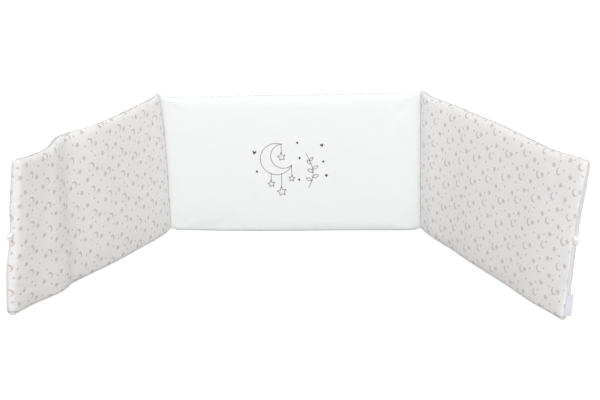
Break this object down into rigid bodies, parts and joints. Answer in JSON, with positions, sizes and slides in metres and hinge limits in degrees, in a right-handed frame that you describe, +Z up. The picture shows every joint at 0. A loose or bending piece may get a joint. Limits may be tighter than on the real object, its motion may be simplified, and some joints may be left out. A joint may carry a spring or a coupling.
{
  "type": "crib bumper",
  "caption": "Padded cloth cot bumper in sections sewn edge to edge, standing open in a U on its lower edges, with knotted end ties.",
  "frame": {"origin": "on the floor, at the middle of the middle pad's flat lower edge", "axes": "+X along the middle pad to the right, +Y to the back (the inside of the cot is towards -Y), +Z up"},
  "size_m": [1.1715, 0.5765, 0.3445],
  "materials": {
    "printed_cotton": "matt",
    "white_cotton": "matt",
    "cotton_tape": "matt",
    "woven_label": "satin"
  },
  "bodies": {
    "root": {"pad_left": "printed_cotton", "pad_middle": "white_cotton", "pad_right": "printed_cotton", "tie_left": "cotton_tape", "tie_right": "cotton_tape", "label": "woven_label"}
  },
  "joints": []
}
